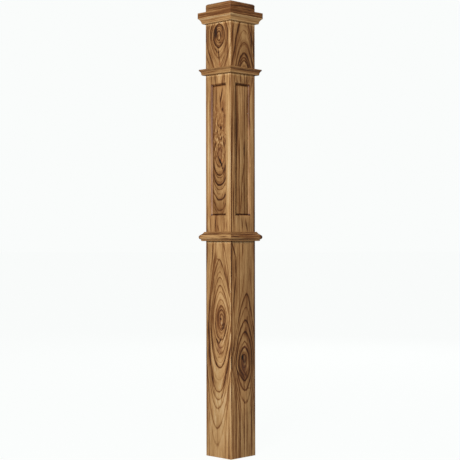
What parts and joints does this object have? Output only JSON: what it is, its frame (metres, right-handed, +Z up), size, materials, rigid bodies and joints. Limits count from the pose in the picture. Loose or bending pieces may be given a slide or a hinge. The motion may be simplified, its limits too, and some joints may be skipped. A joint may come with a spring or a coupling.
{
  "type": "box newel post",
  "caption": "Hollow square box newel post in wood with a recessed panel in each face, mouldings at the base, neck and cap, and a block top; ends a stair handrail",
  "frame": {"origin": "middle of the open underside, at floor level", "axes": "+Z up along the post; the four faces look along -Y (front), +X (right), +Y (back) and -X (left)"},
  "size_m": [0.1556, 0.1556, 1.524],
  "materials": {
    "side_board": "honey brown figured hardwood, satin clear coat",
    "panel": "honey brown figured hardwood, satin clear coat",
    "base_moulding": "honey brown hardwood, grain along the length, satin clear coat",
    "neck_moulding": "honey brown hardwood, grain along the length, satin clear coat",
    "cap_moulding": "honey brown hardwood, grain along the length, satin clear coat",
    "cap_block": "darker brown hardwood, grain across, satin clear coat"
  },
  "bodies": {
    "root": {"side_board_front": "side_board", "side_board_right": "side_board", "side_board_back": "side_board", "side_board_left": "side_board", "panel_front": "panel", "panel_right": "panel", "panel_back": "panel", "panel_left": "panel", "base_moulding_front": "base_moulding", "base_moulding_right": "base_moulding", "base_moulding_back": "base_moulding", "base_moulding_left": "base_moulding", "neck_moulding_front": "neck_moulding", "neck_moulding_right": "neck_moulding", "neck_moulding_back": "neck_moulding", "neck_moulding_left": "neck_moulding", "cap_moulding_front": "cap_moulding", "cap_moulding_right": "cap_moulding", "cap_moulding_back": "cap_moulding", "cap_moulding_left": "cap_moulding", "cap_block": "cap_block"}
  },
  "joints": []
}
